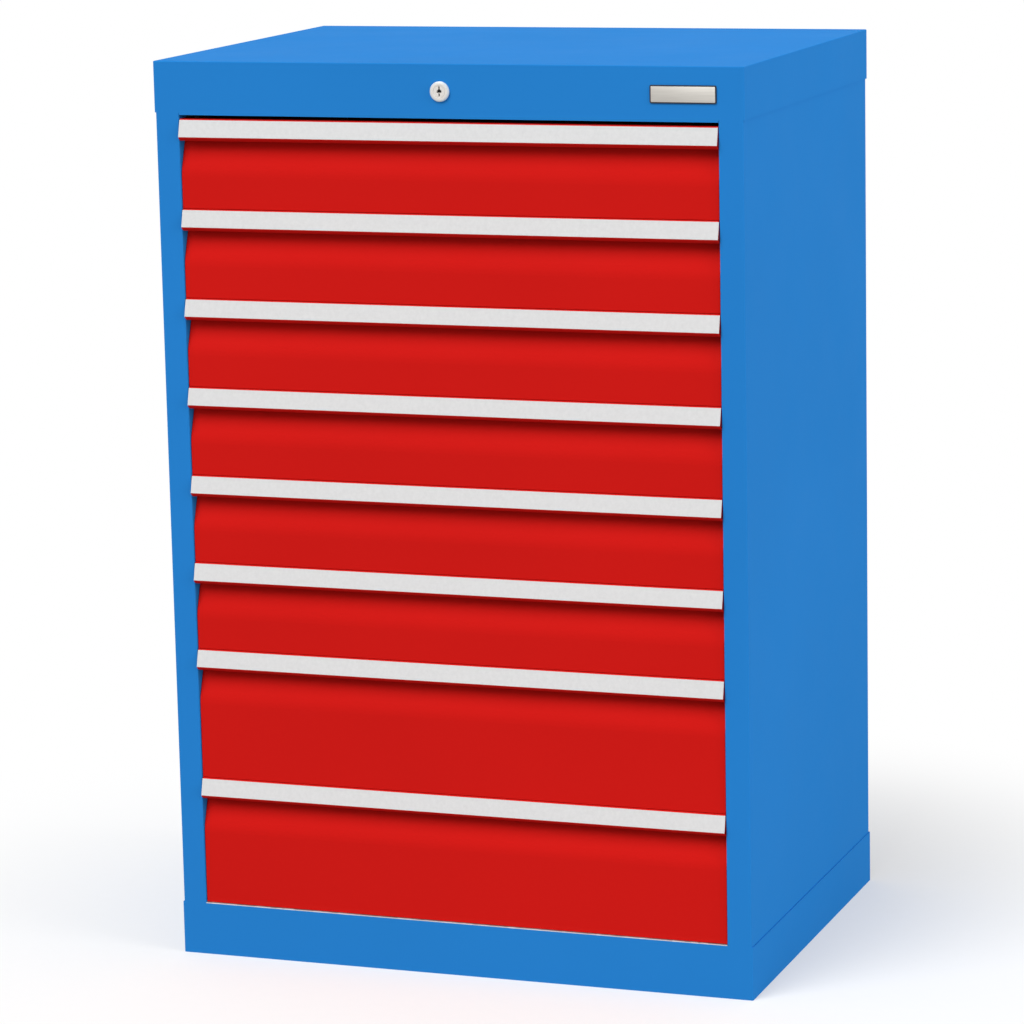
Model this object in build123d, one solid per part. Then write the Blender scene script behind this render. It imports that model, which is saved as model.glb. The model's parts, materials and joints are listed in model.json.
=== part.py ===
from build123d import *
import math
import os

# A steel drawer cabinet with six shallow and two deep drawers on telescopic runners.
# Millimetres. X is width, the fronts face -Y, Z is up, and the origin is under the middle.

# Carcass
CABINET_WIDTH = 680.0
CABINET_DEPTH = 500.0
CABINET_HEIGHT = 1022.0
SHEET = 1.5
COVER_SKIRT = 57.0
COVER_PROUD = 1.5
HEADER_HEIGHT = 59.4
PLINTH_HEIGHT = 60.0
PLINTH_SHEET = 2.0
PLINTH_FLANGE = 24.0
STILE_WIDTH = 27.5
STILE_RETURN = 20.0
EDGE_RADIUS = 1.2
BACK_SHEET = 1.0
FLOOR_SHEET = 1.0
SEAM = 0.2

# Drawers, from the top down
FRONT_UNITS = [2, 2, 2, 2, 2, 2, 3, 3]
TOP_GAP = 1.2
BOTTOM_GAP = 1.4
FRONT_GAP = 1.6
FRONT_LAP = 2.7
FRONT_SIDE_GAP = 0.7
FRONT_SHEET = 1.2

# Formed grip along the top of each front
FACE_SETBACK = 0.8
GRIP_DEPTH = 15.0
GRIP_DROP = 19.4
GRIP_PROUD = 4.2
GRIP_LIP_DROP = 2.6
GRIP_LIP_DEPTH = 4.5
GROOVE_HEIGHT = 34.0
GROOVE_RISE = 2.0
GROOVE_TOP_RADIUS = 10.0
GROOVE_FOOT_RADIUS = 40.0
BEND_RADIUS = 0.6
LABEL_THICKNESS = 0.8
LABEL_MARGIN = 0.4

# Drawer boxes
BOX_DEPTH = 430.0
BOX_SHEET = 1.2
BOX_FLOOR_CLEARANCE = 6.0
BOX_TOP_CLEARANCE = 22.0
BOX_HEM = 5.0

# Telescopic runners, one pair for each drawer
RUNNER_HEIGHT = 40.0
RUNNER_MIDDLE_HEIGHT = 30.0
RUNNER_INNER_HEIGHT = 18.0
RUNNER_SHEET = 1.4
RUNNER_STEP = 7.2
RUNNER_GAP = 0.4
RUNNER_LENGTH = 430.0
RUNNER_SETBACK = 26.0
RUNNER_RISE = 17.0
BALL_PITCH = 34.0
BALL_COUNT = 5
BALL_PLAY = 0.1
CAGE_SHEET = 0.8
CAGE_WIDTH = 3.0

# Slotted uprights that carry the runners
UPRIGHT_WIDTH = 24.0
UPRIGHT_DEPTH = 30.0
UPRIGHT_SLOT_PITCH = 50.0
UPRIGHT_SLOT_HEIGHT = 20.0
UPRIGHT_SLOT_WIDTH = 5.0
UPRIGHT_FRONT_SETBACK = 46.0
UPRIGHT_REAR_SETBACK = 16.0

# Lock and its linkage
LOCK_X = -2.0
LOCK_DROP = 30.0
LOCK_FACE_DIAMETER = 22.0
LOCK_FACE_PROUD = 3.0
LOCK_BARREL_DIAMETER = 19.0
LOCK_BARREL_LENGTH = 20.0
LOCK_PLUG_DIAMETER = 13.0
LOCK_PLUG_PLAY = 0.05
LOCK_HOLE_PLAY = 0.25
LOCK_NUT_WIDTH = 25.0
LOCK_NUT_THICKNESS = 4.0
LOCK_TURN = 90.0
KEY_SLOT_HEIGHT = 9.6
KEY_SLOT_WIDTH = 1.4
KEY_ROUND_DIAMETER = 4.6
KEY_SLOT_DEPTH = 9.0
CAM_THICKNESS = 2.0
CAM_RADIUS = 10.0
CAM_WIDTH = 16.0
CAM_PIN_DIAMETER = 4.0
DRAW_BAR_HEIGHT = 18.0
DRAW_BAR_THICKNESS = 3.0
DRAW_BAR_OVERRUN = 26.0
SLOT_PLAY = 0.7
BAR_PLAY = 0.3
LOCK_RAIL_WIDTH = 16.0
LOCK_RAIL_THICKNESS = 3.0
LOCK_RAIL_PIN_DIAMETER = 4.0
LOCK_RAIL_ARM = 24.0
HOOK_HEIGHT = 10.0
HOOK_DEPTH = 4.0
CATCH_DEPTH = 5.0
CATCH_HEIGHT = 7.0
CATCH_WIDTH = 10.0
CATCH_DROP = 28.0
HOOK_LIFT = 2.0
GUIDE_SHEET = 1.5
GUIDE_WIDTH = 14.0

# Name plate
PLATE_INSET = 67.5
PLATE_DROP = 30.0
PLATE_WIDTH = 74.0
PLATE_HEIGHT = 19.5
PLATE_THICKNESS = 1.2
PLATE_CORNER = 2.0

# Worked out from the sizes above
FRONT_Y = -CABINET_DEPTH / 2
BACK_Y = FRONT_Y + CABINET_DEPTH
HALF_WIDTH = CABINET_WIDTH / 2
BODY_HALF = HALF_WIDTH - COVER_PROUD
WALL_INNER = BODY_HALF - SHEET
OPENING_HALF = BODY_HALF - STILE_WIDTH
FRONT_HALF = OPENING_HALF - FRONT_SIDE_GAP
OPENING_TOP = CABINET_HEIGHT - HEADER_HEIGHT
COVER_BOTTOM = CABINET_HEIGHT - COVER_SKIRT
WALL_TOP = CABINET_HEIGHT - SHEET
WALL_BACK_Y = BACK_Y - PLINTH_SHEET
FLOOR_TOP = PLINTH_HEIGHT + FLOOR_SHEET
UNIT_HEIGHT = (OPENING_TOP - TOP_GAP - PLINTH_HEIGHT - BOTTOM_GAP) / sum(FRONT_UNITS)
FRONT_MODULES = [UNIT_HEIGHT * units for units in FRONT_UNITS]
RAIL_BACK_X = WALL_INNER - UPRIGHT_WIDTH
OUTER_RAIL_X = RAIL_BACK_X - RUNNER_SHEET - RUNNER_STEP
MIDDLE_RAIL_X = OUTER_RAIL_X - RUNNER_STEP
BOX_HALF = MIDDLE_RAIL_X - RUNNER_STEP
BOX_FRONT_Y = FRONT_Y + GRIP_DEPTH + FRONT_SHEET
RUNNER_FRONT_Y = FRONT_Y + RUNNER_SETBACK
LOCK_Z = CABINET_HEIGHT - LOCK_DROP
CAM_Y = FRONT_Y + LOCK_BARREL_LENGTH + BAR_PLAY
DRAW_BAR_Y = CAM_Y + CAM_THICKNESS + BAR_PLAY
LOCK_RAIL_Y = DRAW_BAR_Y + DRAW_BAR_THICKNESS + BAR_PLAY
HALF_STROKE = CAM_RADIUS * math.sin(math.radians(LOCK_TURN / 2))
LOCK_STROKE = 2 * HALF_STROKE
DRAW_BAR_Z = LOCK_Z - CAM_RADIUS
LOCK_RAIL_X = -(RAIL_BACK_X + WALL_INNER) / 2
RAIL_PIN_X = LOCK_RAIL_X + LOCK_RAIL_ARM
RAIL_PIN_Z = DRAW_BAR_Z + HALF_STROKE
CATCH_Y = LOCK_RAIL_Y + LOCK_RAIL_THICKNESS + HOOK_DEPTH


def block(x0, x1, y0, y1, z0, z1):
    """A rectangular solid between two corners."""
    centre = Pos((x0 + x1) / 2, (y0 + y1) / 2, (z0 + z1) / 2)
    return centre * Box(abs(x1 - x0), abs(y1 - y0), abs(z1 - z0))


def rod(x, y0, y1, z, diameter):
    """A round bar along Y."""
    return Pos(x, (y0 + y1) / 2, z) * Rot(90, 0, 0) * Cylinder(diameter / 2, abs(y1 - y0))


def mirrored(solid):
    """A solid and its twin on the other side of the cabinet."""
    return [solid, mirror(solid, about=Plane.YZ)]


def bent_sheet(plane, points, radii, thickness, side):
    """The section of a folded sheet whose drawn face follows the points."""
    line = plane * FilletPolyline(*points, radius=radii)
    outline = offset(line, amount=thickness, side=side, closed=True)
    return make_face(outline)


def save(name, solids):
    """Writes one sub-part, which may be a group of like solids."""
    group = solids if isinstance(solids, list) else [solids]
    flat = [s for item in group for s in item.solids()]
    shape = flat[0] if len(flat) == 1 else Compound(children=flat)
    shape.label = name
    export_step(shape, f"parts/{name}.step")


def front_tops():
    """The height of each drawer's module top, from the top down."""
    tops = []
    z = OPENING_TOP - TOP_GAP
    for module in FRONT_MODULES:
        tops.append(z)
        z -= module
    return tops


# Carcass


def side_panel():
    """The left side: its wall, with the front edge folded in as a stile."""
    points = [
        (-BODY_HALF, WALL_BACK_Y),
        (-BODY_HALF, FRONT_Y),
        (-OPENING_HALF, FRONT_Y),
        (-OPENING_HALF, FRONT_Y + STILE_RETURN),
    ]
    section = bent_sheet(Plane.XY, points, EDGE_RADIUS, SHEET, Side.LEFT)
    folded = extrude(Pos(0, 0, PLINTH_HEIGHT) * section, COVER_BOTTOM - PLINTH_HEIGHT)
    wall = block(
        -BODY_HALF,
        -WALL_INNER,
        FRONT_Y + PLINTH_SHEET + SEAM,
        WALL_BACK_Y,
        PLINTH_HEIGHT / 2,
        WALL_TOP,
    )
    return folded + wall


def back_panel():
    """The rear wall, between the sides."""
    return block(
        -WALL_INNER,
        WALL_INNER,
        WALL_BACK_Y - BACK_SHEET,
        WALL_BACK_Y,
        FLOOR_TOP,
        WALL_TOP,
    )


def top_cover():
    """The lid that slips over the sides, with the hole for the lock."""
    outer = block(-HALF_WIDTH, HALF_WIDTH, FRONT_Y, BACK_Y, COVER_BOTTOM, CABINET_HEIGHT)
    top_edges = outer.faces().sort_by(Axis.Z)[-1].edges()
    upright_edges = outer.edges().filter_by(Axis.Z)
    outer = fillet(top_edges + upright_edges, EDGE_RADIUS)
    hollow = block(
        -BODY_HALF,
        BODY_HALF,
        FRONT_Y + SHEET,
        WALL_BACK_Y,
        COVER_BOTTOM - SHEET,
        WALL_TOP,
    )
    hole = rod(
        LOCK_X,
        FRONT_Y - SHEET,
        FRONT_Y + 2 * SHEET,
        LOCK_Z,
        LOCK_BARREL_DIAMETER + 2 * LOCK_HOLE_PLAY,
    )
    return outer - hollow - hole


def header_rail():
    """The cross rail behind the cover's front skirt, which frames the top of the opening."""
    web = block(
        -OPENING_HALF,
        OPENING_HALF,
        FRONT_Y + SHEET,
        FRONT_Y + 2 * SHEET,
        OPENING_TOP,
        WALL_TOP - SHEET,
    )
    brow = block(
        -OPENING_HALF,
        OPENING_HALF,
        FRONT_Y,
        FRONT_Y + 2 * SHEET,
        OPENING_TOP,
        COVER_BOTTOM,
    )
    flange = block(
        -OPENING_HALF,
        OPENING_HALF,
        FRONT_Y,
        FRONT_Y + STILE_RETURN,
        OPENING_TOP,
        OPENING_TOP + SHEET,
    )
    hole = rod(
        LOCK_X,
        FRONT_Y,
        FRONT_Y + 3 * SHEET,
        LOCK_Z,
        LOCK_BARREL_DIAMETER + 2 * LOCK_HOLE_PLAY,
    )
    return web + brow + flange - hole


def plinth():
    """The base tray, flush with the front and proud at the sides, with inner ledges."""
    outer = block(-HALF_WIDTH, HALF_WIDTH, FRONT_Y, BACK_Y, 0, PLINTH_HEIGHT)
    outer = fillet(outer.edges().filter_by(Axis.Z), EDGE_RADIUS)
    hollow = block(
        -BODY_HALF,
        BODY_HALF,
        FRONT_Y + PLINTH_SHEET,
        WALL_BACK_Y,
        PLINTH_SHEET,
        PLINTH_HEIGHT + SHEET,
    )
    skirt = outer - hollow
    half = WALL_INNER - SEAM
    for y0, y1 in [
        (FRONT_Y, FRONT_Y + PLINTH_FLANGE),
        (BACK_Y - PLINTH_FLANGE, BACK_Y - PLINTH_SHEET / 2),
    ]:
        skirt += block(-half, half, y0, y1, PLINTH_HEIGHT - PLINTH_SHEET, PLINTH_HEIGHT)
    return skirt


def floor_panel():
    """The zinc floor sheet, whose front edge shows as a thin line under the last drawer."""
    middle = block(
        -OPENING_HALF,
        OPENING_HALF,
        FRONT_Y,
        WALL_BACK_Y,
        PLINTH_HEIGHT,
        FLOOR_TOP,
    )
    wide = block(
        -WALL_INNER,
        WALL_INNER,
        FRONT_Y + STILE_RETURN + SEAM,
        WALL_BACK_Y,
        PLINTH_HEIGHT,
        FLOOR_TOP,
    )
    return middle + wide


def upright(y0):
    """One slotted post on the left wall, its open side to the wall."""
    z0 = FLOOR_TOP
    z1 = OPENING_TOP
    outer = block(-WALL_INNER, -RAIL_BACK_X, y0, y0 + UPRIGHT_DEPTH, z0, z1)
    hollow = block(
        -WALL_INNER - SHEET,
        -RAIL_BACK_X - SHEET,
        y0 + SHEET,
        y0 + UPRIGHT_DEPTH - SHEET,
        z0 - SHEET,
        z1 + SHEET,
    )
    post = outer - hollow
    middle = y0 + UPRIGHT_DEPTH / 2
    count = int((z1 - z0 - UPRIGHT_SLOT_PITCH) / UPRIGHT_SLOT_PITCH)
    first = z0 + UPRIGHT_SLOT_PITCH / 2
    slots = [
        block(
            -RAIL_BACK_X - 2 * SHEET,
            -RAIL_BACK_X + SHEET,
            middle - UPRIGHT_SLOT_WIDTH / 2,
            middle + UPRIGHT_SLOT_WIDTH / 2,
            first + i * UPRIGHT_SLOT_PITCH,
            first + i * UPRIGHT_SLOT_PITCH + UPRIGHT_SLOT_HEIGHT,
        )
        for i in range(count)
    ]
    return post - slots


# Runners


def channel(x0, x1, height, z, web_at_low_x):
    """A straight channel section rail, its web on one side."""
    y0 = RUNNER_FRONT_Y
    y1 = RUNNER_FRONT_Y + RUNNER_LENGTH
    outer = block(x0, x1, y0, y1, z - height / 2, z + height / 2)
    if web_at_low_x:
        cut = (x0 + RUNNER_SHEET, x1 + RUNNER_SHEET)
    else:
        cut = (x0 - RUNNER_SHEET, x1 - RUNNER_SHEET)
    inner = height / 2 - RUNNER_SHEET
    return outer - block(cut[0], cut[1], y0 - SHEET, y1 + SHEET, z - inner, z + inner)


def fixed_rail(z):
    """The cabinet's own rail, an outer channel that opens towards the drawer."""
    return channel(OUTER_RAIL_X - RUNNER_STEP / 2, RAIL_BACK_X, RUNNER_HEIGHT, z, False)


def middle_rail(z):
    """The travelling rail: a web with a channel on each face."""
    y0 = RUNNER_FRONT_Y
    y1 = RUNNER_FRONT_Y + RUNNER_LENGTH
    web_x = OUTER_RAIL_X - RUNNER_STEP / 2 - RUNNER_GAP - RUNNER_SHEET
    web_half = RUNNER_MIDDLE_HEIGHT / 2
    web = block(web_x, web_x + RUNNER_SHEET, y0, y1, z - web_half, z + web_half)
    flanges = []
    for sign in (-1, 1):
        low = z + sign * web_half
        high = low - sign * RUNNER_SHEET
        flanges.append(
            block(
                BOX_HALF + RUNNER_SHEET + RUNNER_GAP,
                OUTER_RAIL_X + RUNNER_STEP / 2,
                y0,
                y1,
                min(low, high),
                max(low, high),
            )
        )
    return web + flanges


def drawer_rail(z):
    """The drawer's rail, a small channel on the box's side that opens outwards."""
    far = OUTER_RAIL_X - RUNNER_STEP / 2 - 2 * RUNNER_GAP - RUNNER_SHEET
    return channel(BOX_HALF, far, RUNNER_INNER_HEIGHT, z, True)


def ball_cage(x, z_low, z_high):
    """A strip that carries a row of balls between two rails, seen as one piece."""
    middle = (z_low + z_high) / 2
    start = RUNNER_FRONT_Y + RUNNER_LENGTH / 2 - BALL_PITCH * (BALL_COUNT - 1) / 2
    end = start + BALL_PITCH * (BALL_COUNT - 1)
    strip = block(
        x - CAGE_WIDTH / 2,
        x + CAGE_WIDTH / 2,
        start - BALL_PITCH / 2,
        end + BALL_PITCH / 2,
        middle - CAGE_SHEET / 2,
        middle + CAGE_SHEET / 2,
    )
    radius = (z_high - z_low) / 2 - BALL_PLAY
    for i in range(BALL_COUNT):
        strip += Pos(x, start + i * BALL_PITCH, middle) * Sphere(radius)
    return strip


def ball_cages(z):
    """The four cages of one runner: two outside the middle rail and two inside it."""
    outer_x = OUTER_RAIL_X + RUNNER_STEP / 4
    inner_x = (BOX_HALF + MIDDLE_RAIL_X) / 2 + RUNNER_SHEET
    outer_low = RUNNER_MIDDLE_HEIGHT / 2
    outer_high = RUNNER_HEIGHT / 2 - RUNNER_SHEET
    inner_low = RUNNER_INNER_HEIGHT / 2
    inner_high = RUNNER_MIDDLE_HEIGHT / 2 - RUNNER_SHEET
    cages = []
    for x, low, high in [
        (outer_x, outer_low, outer_high),
        (inner_x, inner_low, inner_high),
    ]:
        cages.append(ball_cage(x, z + low, z + high))
        cages.append(ball_cage(x, z - high, z - low))
    return cages


# Drawers


def grip_points(top, bottom):
    """The line of a front's inner bends, as depth behind the front plane and height."""
    face = FACE_SETBACK + FRONT_SHEET
    back = GRIP_DEPTH
    z = top - FRONT_GAP
    lip_y = FRONT_SHEET - GRIP_PROUD
    lip_z = z - GRIP_DROP
    groove_top = lip_z - GRIP_LIP_DROP
    return [
        (back + FRONT_SHEET, bottom),
        (face, bottom),
        (face, groove_top - GROOVE_HEIGHT),
        (back, groove_top + GROOVE_RISE),
        (back, z),
        (face, z),
        (lip_y, lip_z),
        (lip_y + GRIP_LIP_DEPTH, lip_z - GRIP_LIP_DROP),
    ]


def drawer_front(top, bottom):
    """A front folded from one sheet: flat face, finger groove, and grip above it."""
    points = [(FRONT_Y + d, z) for d, z in grip_points(top, bottom)]
    radii = [
        BEND_RADIUS,
        GROOVE_FOOT_RADIUS,
        GROOVE_TOP_RADIUS,
        BEND_RADIUS,
        BEND_RADIUS,
        BEND_RADIUS,
    ]
    section = bent_sheet(Plane.YZ, points, radii, FRONT_SHEET, Side.RIGHT)
    return extrude(section, FRONT_HALF, both=True)


def label_strip(top):
    """The light strip that lies on the grip's slope."""
    y = FRONT_Y + FACE_SETBACK + FRONT_SHEET
    z = top - FRONT_GAP
    reach = GRIP_PROUD + FACE_SETBACK
    slope = math.hypot(reach, GRIP_DROP)
    along = (-reach / slope, -GRIP_DROP / slope)
    out = (-GRIP_DROP / slope, reach / slope)
    start = LABEL_MARGIN
    end = slope - LABEL_MARGIN

    def corner(distance, height):
        lift = FRONT_SHEET + height
        return (
            y + along[0] * distance + out[0] * lift,
            z + along[1] * distance + out[1] * lift,
        )

    section = make_face(
        Plane.YZ
        * Polyline(
            corner(start, 0),
            corner(end, 0),
            corner(end, LABEL_THICKNESS),
            corner(start, LABEL_THICKNESS),
            close=True,
        )
    )
    return extrude(section, FRONT_HALF, both=True)


def drawer_box(top, bottom):
    """The open box behind a front, with hems on its sides and a lock catch on its left."""
    z0 = bottom + BOX_FLOOR_CLEARANCE
    z1 = top - BOX_TOP_CLEARANCE
    y0 = BOX_FRONT_Y
    y1 = BOX_FRONT_Y + BOX_DEPTH
    outer = block(-BOX_HALF, BOX_HALF, y0, y1, z0, z1)
    hollow = block(
        -BOX_HALF + BOX_SHEET,
        BOX_HALF - BOX_SHEET,
        y0 + BOX_SHEET,
        y1 - BOX_SHEET,
        z0 + BOX_SHEET,
        z1 + BOX_SHEET,
    )
    box = outer - hollow
    for sign in (-1, 1):
        edge = sign * BOX_HALF
        box += block(edge, edge - sign * BOX_HEM, y0, y1, z1 - BOX_SHEET, z1)
    catch = block(
        -BOX_HALF - CATCH_WIDTH,
        -BOX_HALF + BOX_SHEET / 2,
        CATCH_Y,
        CATCH_Y + CATCH_DEPTH,
        top - CATCH_DROP - CATCH_HEIGHT,
        top - CATCH_DROP,
    )
    return box + catch


# Lock


def lock_housing():
    """The barrel that holds the plug, with its round face."""
    face = rod(LOCK_X, FRONT_Y - LOCK_FACE_PROUD, FRONT_Y, LOCK_Z, LOCK_FACE_DIAMETER)
    rim = face.edges().filter_by(GeomType.CIRCLE).sort_by(Axis.Y)[0]
    face = fillet(rim, EDGE_RADIUS)
    barrel = rod(
        LOCK_X,
        FRONT_Y - LOCK_FACE_PROUD / 2,
        FRONT_Y + LOCK_BARREL_LENGTH,
        LOCK_Z,
        LOCK_BARREL_DIAMETER,
    )
    bore = rod(
        LOCK_X,
        FRONT_Y - 2 * LOCK_FACE_PROUD,
        FRONT_Y + 2 * LOCK_BARREL_LENGTH,
        LOCK_Z,
        LOCK_PLUG_DIAMETER + 2 * LOCK_PLUG_PLAY,
    )
    return face + barrel - bore


def lock_plug():
    """The turning plug with its keyway, and the cam and pin that it carries."""
    front = FRONT_Y - LOCK_FACE_PROUD + SEAM
    plug = rod(LOCK_X, front, CAM_Y + CAM_THICKNESS / 2, LOCK_Z, LOCK_PLUG_DIAMETER)
    slot = block(
        LOCK_X - KEY_SLOT_WIDTH / 2,
        LOCK_X + KEY_SLOT_WIDTH / 2,
        front - SHEET,
        front + KEY_SLOT_DEPTH,
        LOCK_Z - KEY_SLOT_HEIGHT / 2,
        LOCK_Z + KEY_SLOT_HEIGHT / 2,
    )
    round_slot = rod(
        LOCK_X, front - SHEET, front + KEY_SLOT_DEPTH, LOCK_Z, KEY_ROUND_DIAMETER
    )
    return plug - slot - round_slot


def lock_cam():
    """The arm on the back of the plug, with the pin that moves the draw bar."""
    angle = math.radians(LOCK_TURN / 2)
    pin_x = LOCK_X - CAM_RADIUS * math.sin(angle)
    pin_z = LOCK_Z - CAM_RADIUS * math.cos(angle)
    y0 = CAM_Y
    y1 = CAM_Y + CAM_THICKNESS
    hub = rod(LOCK_X, y0, y1, LOCK_Z, CAM_WIDTH)
    tip = rod(pin_x, y0, y1, pin_z, CAM_PIN_DIAMETER + 2 * CAM_THICKNESS)
    reach = Pos((LOCK_X + pin_x) / 2, (y0 + y1) / 2, (LOCK_Z + pin_z) / 2)
    arm = reach * Rot(0, LOCK_TURN / 2, 0) * Box(
        CAM_PIN_DIAMETER + 2 * CAM_THICKNESS, CAM_THICKNESS, CAM_RADIUS
    )
    pin = rod(
        pin_x,
        y0,
        DRAW_BAR_Y + DRAW_BAR_THICKNESS + SEAM,
        pin_z,
        CAM_PIN_DIAMETER,
    )
    seat = rod(
        LOCK_X, y0 - SHEET, CAM_Y + CAM_THICKNESS / 2, LOCK_Z, LOCK_PLUG_DIAMETER
    )
    return hub + tip + arm + pin - seat


def lock_nut():
    """The hexagonal nut that holds the housing to the header rail."""
    y0 = FRONT_Y + 2 * SHEET
    hexagon = RegularPolygon(LOCK_NUT_WIDTH / 2, 6, major_radius=False)
    nut = extrude(Plane.XZ * hexagon, -LOCK_NUT_THICKNESS)
    nut = Pos(LOCK_X, y0, LOCK_Z) * nut
    bore = rod(
        LOCK_X,
        y0 - SHEET,
        y0 + LOCK_NUT_THICKNESS + SHEET,
        LOCK_Z,
        LOCK_BARREL_DIAMETER,
    )
    return nut - bore


def draw_bar():
    """The bar that carries the cam's stroke to the left side."""
    y0 = DRAW_BAR_Y
    y1 = DRAW_BAR_Y + DRAW_BAR_THICKNESS
    x0 = RAIL_PIN_X - LOCK_STROKE - LOCK_RAIL_PIN_DIAMETER - 2 * SLOT_PLAY
    x1 = LOCK_X + DRAW_BAR_OVERRUN
    half = DRAW_BAR_HEIGHT / 2
    bar = block(x0, x1, y0, y1, DRAW_BAR_Z - half, DRAW_BAR_Z + half)
    plate = block(
        x0,
        RAIL_PIN_X + 2 * LOCK_RAIL_PIN_DIAMETER,
        y0,
        y1,
        DRAW_BAR_Z - half,
        RAIL_PIN_Z + 2 * LOCK_RAIL_PIN_DIAMETER,
    )
    pin_x = LOCK_X - HALF_STROKE
    slot_half = CAM_PIN_DIAMETER / 2 + SLOT_PLAY
    yoke = block(
        pin_x - slot_half,
        pin_x + slot_half,
        y0 - SHEET,
        y1 + SHEET,
        DRAW_BAR_Z - slot_half,
        DRAW_BAR_Z + CAM_RADIUS - HALF_STROKE + slot_half,
    )
    return bar + plate - yoke - ramp_slot(y0 - SHEET, y1 + SHEET)


def ramp_slot(y0, y1):
    """The slanting slot that lowers the lock rail's pin as the bar moves right."""
    low_x = RAIL_PIN_X - LOCK_STROKE
    low_z = RAIL_PIN_Z - LOCK_STROKE
    width = LOCK_RAIL_PIN_DIAMETER + 2 * SLOT_PLAY
    middle = Pos((low_x + RAIL_PIN_X) / 2, (y0 + y1) / 2, (low_z + RAIL_PIN_Z) / 2)
    length = math.hypot(LOCK_STROKE, LOCK_STROKE)
    slot = middle * Rot(0, -45, 0) * Box(length, y1 - y0, width)
    ends = [
        rod(RAIL_PIN_X, y0, y1, RAIL_PIN_Z, width),
        rod(low_x, y0, y1, low_z, width),
    ]
    return slot + ends


def lock_rail():
    """The upright bar with a hook for each drawer, behind the left stile."""
    y0 = LOCK_RAIL_Y
    y1 = LOCK_RAIL_Y + LOCK_RAIL_THICKNESS
    x0 = LOCK_RAIL_X - LOCK_RAIL_WIDTH / 2
    x1 = LOCK_RAIL_X + LOCK_RAIL_WIDTH / 2
    top = RAIL_PIN_Z + LOCK_RAIL_PIN_DIAMETER
    bottom = FLOOR_TOP + FRONT_MODULES[-1] / 2
    rail = block(x0, x1, y0, y1, bottom, top)
    rail += block(
        x0,
        RAIL_PIN_X + LOCK_RAIL_PIN_DIAMETER,
        y0,
        y1,
        RAIL_PIN_Z - LOCK_RAIL_PIN_DIAMETER,
        top,
    )
    rail += rod(
        RAIL_PIN_X,
        DRAW_BAR_Y - SEAM,
        y0 + LOCK_RAIL_THICKNESS / 2,
        RAIL_PIN_Z,
        LOCK_RAIL_PIN_DIAMETER,
    )
    for module_top in front_tops():
        z0 = module_top - CATCH_DROP + HOOK_LIFT
        rail += block(x0, -BOX_HALF - HOOK_LIFT, y0, y1, z0, z0 + HOOK_HEIGHT)
    return rail


def draw_bar_guide(x):
    """A strap on the header rail that carries the draw bar."""
    y0 = FRONT_Y + 2 * SHEET
    y1 = DRAW_BAR_Y + DRAW_BAR_THICKNESS + BAR_PLAY
    half = DRAW_BAR_HEIGHT / 2 + BAR_PLAY
    x0 = x - GUIDE_WIDTH / 2
    x1 = x + GUIDE_WIDTH / 2
    z0 = DRAW_BAR_Z - half
    z1 = DRAW_BAR_Z + half
    outer = block(x0, x1, y0, y1 + GUIDE_SHEET, z0 - GUIDE_SHEET, z1 + GUIDE_SHEET)
    return outer - block(x0 - SHEET, x1 + SHEET, y0 - SHEET, y1, z0, z1)


def lock_rail_guide(z):
    """A strap on the left wall that holds the lock rail upright."""
    x0 = -WALL_INNER
    x1 = LOCK_RAIL_X + LOCK_RAIL_WIDTH / 2 + BAR_PLAY
    y0 = LOCK_RAIL_Y - BAR_PLAY
    y1 = LOCK_RAIL_Y + LOCK_RAIL_THICKNESS + BAR_PLAY
    z0 = z - GUIDE_WIDTH / 2
    z1 = z + GUIDE_WIDTH / 2
    outer = block(x0, x1 + GUIDE_SHEET, y0 - GUIDE_SHEET, y1 + GUIDE_SHEET, z0, z1)
    return outer - block(x0 - SHEET, x1, y0, y1, z0 - SHEET, z1 + SHEET)


def name_plate():
    """The small bare plate at the right of the cover's front."""
    x = CABINET_WIDTH / 2 - PLATE_INSET
    plate = block(
        x - PLATE_WIDTH / 2,
        x + PLATE_WIDTH / 2,
        FRONT_Y - PLATE_THICKNESS,
        FRONT_Y,
        CABINET_HEIGHT - PLATE_DROP - PLATE_HEIGHT / 2,
        CABINET_HEIGHT - PLATE_DROP + PLATE_HEIGHT / 2,
    )
    return fillet(plate.edges().filter_by(Axis.Y), PLATE_CORNER)


def build_carcass():
    """Everything that stands still."""
    left, right = mirrored(side_panel())
    save("side_panel_left", left)
    save("side_panel_right", right)
    save("back_panel", back_panel())
    save("top_cover", top_cover())
    save("header_rail", header_rail())
    save("plinth", plinth())
    save("floor_panel", floor_panel())
    save("front_uprights", mirrored(upright(FRONT_Y + UPRIGHT_FRONT_SETBACK)))
    rear_y = RUNNER_FRONT_Y + RUNNER_LENGTH - UPRIGHT_DEPTH - UPRIGHT_REAR_SETBACK
    save("rear_uprights", mirrored(upright(rear_y)))
    save("name_plate", name_plate())


def build_lock():
    """The lock and its linkage."""
    save("lock_housing", lock_housing())
    save("lock_plug", lock_plug())
    save("lock_cam", lock_cam())
    save("lock_nut", lock_nut())
    save("draw_bar", draw_bar())
    save("lock_rail", lock_rail())
    near = LOCK_X - 3 * GUIDE_WIDTH
    far = LOCK_RAIL_X + 6 * GUIDE_WIDTH
    tops = front_tops()
    guides = [draw_bar_guide(near), draw_bar_guide(far)]
    for module_top in (tops[1], tops[-1]):
        guides.append(lock_rail_guide(module_top + GUIDE_WIDTH))
    save("lock_guides", guides)


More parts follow.
